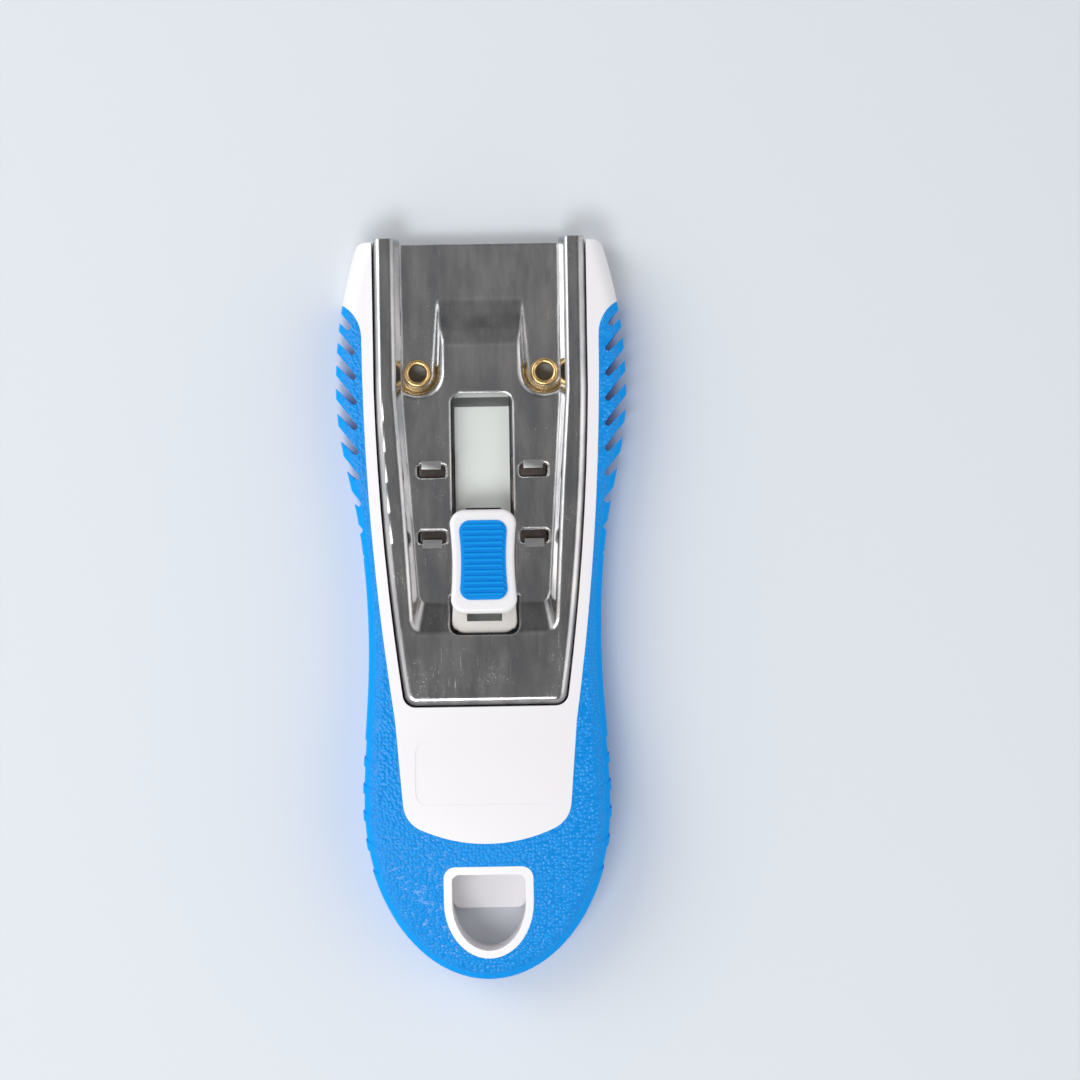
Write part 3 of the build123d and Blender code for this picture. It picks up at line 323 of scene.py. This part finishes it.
# Blade carrier: blanked steel tongue with bright zinc plate.
# The plate is pale and satin, with a soft cloudy mottle of a few millimetres.
ZINC = "e6e9e7"
ZINC_SHADE = "e2e6e3"
CLOUD_MM = 3.0

zinc, tree, shader, place = new_material("satin_zinc_plate", ZINC, 0.5, metallic=1.0)
clouds = noise(tree, place, CLOUD_MM, 6.0, 0.7)
finish(
    tree,
    shader,
    Roughness=remap(tree, clouds, 0.3, 0.7, 0.52, 0.66),
    Base_Color=mixed(tree, clouds, ZINC_SHADE, ZINC),
)
dress("blade_carrier", zinc)

# Guide bracket: bent steel with zinc plate, whose four tabs are clenched over on the cover.
# The press breaks its edges. Below the cover's level, under the tabs, in the slots and the channel, the
# zinc is painted dark as shade, in uneven patches.
BRACKET_ZINC = "a4a5a4"
PAINTED_SLOT_SHADE = "4c403b"
PAINTED_SHADE_LEVEL_MM = 8.25
PAINTED_SHADE_EDGE_MM = 0.2
PAINTED_SHADE_MOTTLE_MM = 1.5
BRACKET_EDGE_MM = 0.12
MERGE_MM = 0.0005
SHARP_ANGLE = math.radians(40)


def finished(node, body, material, edge_mm):
    """A merged copy of a CAD node that stands for it, with its sharp edges broken."""
    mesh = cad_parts[node].data.copy()
    piece = bpy.data.objects.new(f"{node}_finished", mesh)
    bpy.context.scene.collection.objects.link(piece)
    shape = bmesh.new()
    shape.from_mesh(mesh)
    bmesh.ops.remove_doubles(shape, verts=shape.verts, dist=MERGE_MM * MM)
    shape.to_mesh(mesh)
    shape.free()
    mesh.shade_smooth()
    mesh.set_sharp_from_angle(angle=SHARP_ANGLE)
    mesh.materials.clear()
    mesh.materials.append(material)
    edge = piece.modifiers.new("broken_edges", "BEVEL")
    edge.width = edge_mm * MM
    edge.segments = 2
    edge.limit_method = "ANGLE"
    edge.angle_limit = SHARP_ANGLE
    edge.harden_normals = True
    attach(piece, body)
    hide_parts(node)
    return piece


zinc_with_painted_shade, tree, shader, place = new_material("zinc_plate_with_painted_shade", BRACKET_ZINC, 0.32, metallic=1.0)
# Painted shade: below the cover's level, the zinc's colour turns to a dark brown-grey in uneven patches.
height = add_node(tree, "ShaderNodeSeparateXYZ", inputs={0: place}).outputs["Z"]
above_painted_shade = remap(tree, height, (PAINTED_SHADE_LEVEL_MM - PAINTED_SHADE_EDGE_MM) * MM, PAINTED_SHADE_LEVEL_MM * MM)
painted_shade_mottle = noise(tree, place, PAINTED_SHADE_MOTTLE_MM, 4.0)
unshaded_share = math_node(tree, "MULTIPLY_ADD", painted_shade_mottle, 0.2, above_painted_shade, clamp=True)
finish(tree, shader, Base_Color=mixed(tree, unshaded_share, PAINTED_SLOT_SHADE, BRACKET_ZINC))
finished("guide_bracket", "handle", zinc_with_painted_shade, BRACKET_EDGE_MM)

# Blade and its studs: hardened carbon steel strip, ground and oiled grey.
# The two studs that locate it on the yoke are turned, and a little brighter.
dress("blade", rolled_metal("ground_blade_steel", "a3a8ac", 0.28, 0.15, 0.1))
dress("blade_studs", rolled_metal("turned_stud_steel", "b9bdbf", 0.3, 0.3, 0.05))

# Slider base: off-white polyamide collar that rides on the panel, duller than the hood above it.
# It is a little wider than its solid, to close the gap beside it. Two turned rivets hold it.
COLLAR_EDGE_MM = 0.12
COLLAR_SIDE_MM = 5.8
COLLAR_ADDED_MM = 0.3

polyamide = spark_eroded("moulded_polyamide", "ddd9d5", 0.5, 0.02)
collar = finished("slider_base", "carriage", polyamide, COLLAR_EDGE_MM)
for vertex in collar.data.vertices:
    if abs(vertex.co.x) > COLLAR_SIDE_MM * MM:
        vertex.co.x += math.copysign(COLLAR_ADDED_MM * MM, vertex.co.x)
dress("slider_rivets", rolled_metal("turned_rivet_steel", "b4b8ba", 0.3, 0.3, 0.05))

# Button: glossy white ABS hood, drawn in at the waist, with a ribbed soft pad moulded into it.
# The pad is dull and near the blue of the grip, and its ribs are rounded at their tops.
RIB_BEND_MM = 0.3
PAD_SPECULAR = 0.12

dress("slider_cap", spark_eroded("polished_white_abs", "efedef", 0.24, 0.005))
pad_tpr = spark_eroded("ribbed_blue_tpr", "0092e6", 0.46, 0.02, RIB_BEND_MM, PAD_SPECULAR)
dress("slider_pad", pad_tpr)

# Lock plate and leaf spring under the button: blanked spring steel, the spring blued by its temper.
# They hardly show, as thin dark edges in the slot.
dress("lock_plate", rolled_metal("blanked_lock_steel", "8f9498", 0.34, 0.3, 0.08))
dress("button_spring", rolled_metal("blued_spring_steel", "6f757a", 0.3, 0.3, 0.08))

# Screws: zinc-plated self-tapping screws of the lower shell, and the countersunk one of the head.
# Their heads are cold-headed with a cross recess. Geometry Nodes cut it and set each screw.
SCREW_SINK_MM = 0.3
BODY_SCREW_PLACES_MM = [
    (side * x, y, SCREW_SINK_MM) for side in (-1, 1) for x, y in ((13.2, -28.0), (14.2, -53.0))
]
BODY_SCREW_MM = {
    "Head": 2.5,
    "Neck": 2.5,
    "Head Height": 1.5,
    "Shank": 1.3,
    "Length": 9.0,
    "Recess": 0.7,
}
HEAD_SCREW_PLACES_MM = [(0.0, -14.6, SCREW_SINK_MM)]
HEAD_SCREW_MM = {
    "Head": 2.173,
    "Neck": 1.3,
    "Head Height": 0.8,
    "Shank": 1.3,
    "Length": 3.3,
    "Recess": 0.45,
}
CROSS_LONG_MM = 2.9
CROSS_WIDE_MM = 0.6
HEAD_STEPS = 48
SHANK_STEPS = 32

screw_zinc = rolled_metal("zinc_plated_screw_steel", "b5b8ba", 0.3, 0.3, 0.05)
group, given, ends = node_group("cross_headed_screw", BODY_SCREW_MM)
head_size = {
    "Vertices": HEAD_STEPS,
    "Radius Bottom": given["Head"],
    "Radius Top": given["Neck"],
    "Depth": given["Head Height"],
}
head = add_node(group, "GeometryNodeMeshCone", inputs=head_size)
solid_head = {"Mesh 1": head.outputs["Mesh"]}
cut = add_node(group, "GeometryNodeMeshBoolean", {"operation": "DIFFERENCE", "solver": "EXACT"}, solid_head)
twice = math_node(group, "MULTIPLY", given["Recess"], 2.0)
for wide, deep in ((CROSS_LONG_MM, CROSS_WIDE_MM), (CROSS_WIDE_MM, CROSS_LONG_MM)):
    size = add_node(group, "ShaderNodeCombineXYZ", inputs={"X": wide * MM, "Y": deep * MM, "Z": twice})
    cutter = add_node(group, "GeometryNodeMeshCube", inputs={"Size": size.outputs["Vector"]})
    group.links.new(cutter.outputs["Mesh"], cut.inputs["Mesh 2"])
shank_length = math_node(group, "SUBTRACT", given["Length"], given["Recess"])
shank_size = {"Vertices": SHANK_STEPS, "Radius": given["Shank"], "Depth": shank_length}
shank = add_node(group, "GeometryNodeMeshCylinder", inputs=shank_size)
shank_middle = math_node(group, "MULTIPLY_ADD", shank_length, 0.5, given["Recess"])
middle = add_node(group, "ShaderNodeCombineXYZ", inputs={"Z": shank_middle})
lift = {"Geometry": shank.outputs["Mesh"], "Translation": middle.outputs["Vector"]}
raised = add_node(group, "GeometryNodeTransform", inputs=lift)
screw = add_node(group, "GeometryNodeJoinGeometry")
for part in (cut.outputs["Mesh"], raised.outputs["Geometry"]):
    group.links.new(part, screw.inputs["Geometry"])
set_at_places(group, given, screw.outputs["Geometry"], ends, screw_zinc)

for name, places_mm, sizes_mm in (
    ("body_screws", BODY_SCREW_PLACES_MM, BODY_SCREW_MM),
    ("head_screw", HEAD_SCREW_PLACES_MM, HEAD_SCREW_MM),
):
    screws = grown(f"{name}_cross_headed", places_mm, group, sizes_mm)
    screws.data.set_sharp_from_angle(angle=SHARP_ANGLE)
    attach(screws, "handle")
    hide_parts(name)

# Floor: a plain pale table under the tool.
# It is matt and keeps the tool's shadow.
FLOOR_REACH = 3.0
TABLE_GREY = "dde2e8"

floor_corners = [(x * FLOOR_REACH, y * FLOOR_REACH, 0) for x, y in ((-1, -1), (1, -1), (1, 1), (-1, 1))]
floor_mesh = bpy.data.meshes.new("floor")
floor_mesh.from_pydata(floor_corners, [], [(0, 1, 2, 3)])
floor = bpy.data.objects.new("floor", floor_mesh)
bpy.context.scene.collection.objects.link(floor)
floor_mesh.materials.append(new_material("pale_table", TABLE_GREY, 0.8)[0])

# Light: a studio with a wide soft box at either side, the left one brighter, and pale walls low down.
# The flat steel mirrors its dim ceiling, which has a soft glow just ahead of the camera
# and is darker to the right and far to the front.
LEFT_LEVEL = 1.0
RIGHT_LEVEL = 0.8
WALL_LEVEL = 0.85
CEILING_LEVEL = 0.21
FRONT_CEILING_LEVEL = 0.12
CEILING_LEFT_SHARE, CEILING_RIGHT_SHARE = 1.05, 0.8
GLOW_LEVEL = 0.19
GLOW_SQUEEZE = 3.5
GLOW_TILT_DEGREES = 6.5
GLOW_REACH_DEGREES = 8.0
BACKDROP_LEVEL = 0.95
STUDIO_WHITE = "ffffff"

world = bpy.data.worlds.new("studio")
world.use_nodes = True
bpy.context.scene.world = world
tree = world.node_tree


def between(value, low, high, start=0.0, stop=1.0):
    """The studio's smooth change from start to stop while the value goes from low to high."""
    return remap(tree, value, low, high, start, stop, "SMOOTHSTEP")


def vector_node(operation, first, second):
    """One Vector Math node of the studio."""
    return add_node(tree, "ShaderNodeVectorMath", {"operation": operation}, {0: first, 1: second})


direction = add_node(tree, "ShaderNodeTexCoord").outputs["Generated"]
axes = add_node(tree, "ShaderNodeSeparateXYZ", inputs={0: direction}).outputs
box_edge = between(math_node(tree, "ABSOLUTE", axes["X"]), 0.22, 0.55)
boxes = math_node(tree, "MULTIPLY", box_edge, between(axes["X"], -0.3, 0.3, LEFT_LEVEL, RIGHT_LEVEL))
walls = between(axes["Z"], 0.15, 0.42, WALL_LEVEL, 0.0)
glow_tilt = math.radians(GLOW_TILT_DEGREES)
glow_centre = (0.0, math.sin(glow_tilt), math.cos(glow_tilt))
narrow = vector_node("MULTIPLY", direction, (GLOW_SQUEEZE, 1, 1)).outputs["Vector"]
off_glow = vector_node("DISTANCE", narrow, glow_centre).outputs["Value"]
glow = between(off_glow, 0.0, math.radians(GLOW_REACH_DEGREES), GLOW_LEVEL, 0.0)
dim = between(axes["Y"], 0.72, 0.9, CEILING_LEVEL, FRONT_CEILING_LEVEL)
sideways = between(axes["X"], -0.03, 0.03, CEILING_LEFT_SHARE, CEILING_RIGHT_SHARE)
ceiling = math_node(tree, "MULTIPLY_ADD", dim, sideways, glow)
studio = math_node(tree, "MAXIMUM", math_node(tree, "MAXIMUM", boxes, walls), ceiling)
seen = add_node(tree, "ShaderNodeLightPath").outputs["Is Camera Ray"]
views = {"Factor": seen, "A": studio, "B": BACKDROP_LEVEL}
level = add_node(tree, "ShaderNodeMix", {"data_type": "FLOAT"}, views)
backdrop = tree.nodes["Background"]
backdrop.inputs["Color"].default_value = linear(STUDIO_WHITE)
tree.links.new(level.outputs["Result"], backdrop.inputs["Strength"])


def soft_box(name, place, size, power):
    """A rectangular soft box that faces the tool."""
    lamp = bpy.data.lights.new(name, "AREA")
    lamp.shape = "RECTANGLE"
    lamp.size, lamp.size_y = size
    lamp.energy = power
    holder = bpy.data.objects.new(name, lamp)
    holder.location = place
    holder.rotation_euler = (-Vector(place)).to_track_quat("-Z", "Y").to_euler()
    bpy.context.scene.collection.objects.link(holder)


soft_box("key_box", (-0.62, 0.30, 0.62), (0.45, 0.6), 2.2)
soft_box("top_box", (-0.20, -0.38, 0.90), (0.45, 0.35), 3.6)
soft_box("side_box", (0.75, -0.05, 0.55), (0.3, 0.9), 0.5)

# Camera: straight above, turned as the tool lies in the picture.
# Its lens makes one picture pixel MM_PER_PIXEL wide at the height of the cover.
PICTURE_PIXELS = 1080
MM_PER_PIXEL = 0.205
TOOL_CENTRE_PIXELS = (484.3, 608.5)
TOOL_TURN_DEGREES = 0.94
CAMERA_HEIGHT = 0.9
COVER_HEIGHT = 0.012

camera_data = bpy.data.cameras.new("camera")
camera_data.sensor_width = 36.0
frame_width = PICTURE_PIXELS * MM_PER_PIXEL * MM
camera_data.lens = camera_data.sensor_width * (CAMERA_HEIGHT - COVER_HEIGHT) / frame_width
camera = bpy.data.objects.new("camera", camera_data)
across = (PICTURE_PIXELS / 2 - TOOL_CENTRE_PIXELS[0]) * MM_PER_PIXEL * MM
along_tool = (TOOL_CENTRE_PIXELS[1] - PICTURE_PIXELS / 2) * MM_PER_PIXEL * MM
turn = -math.radians(TOOL_TURN_DEGREES)
camera.location = (
    across * math.cos(turn) - along_tool * math.sin(turn),
    across * math.sin(turn) + along_tool * math.cos(turn),
    CAMERA_HEIGHT,
)
camera.rotation_euler = (0, 0, turn)
bpy.context.scene.collection.objects.link(camera)
bpy.context.scene.camera = camera
bpy.context.scene.view_settings.view_transform = "Standard"
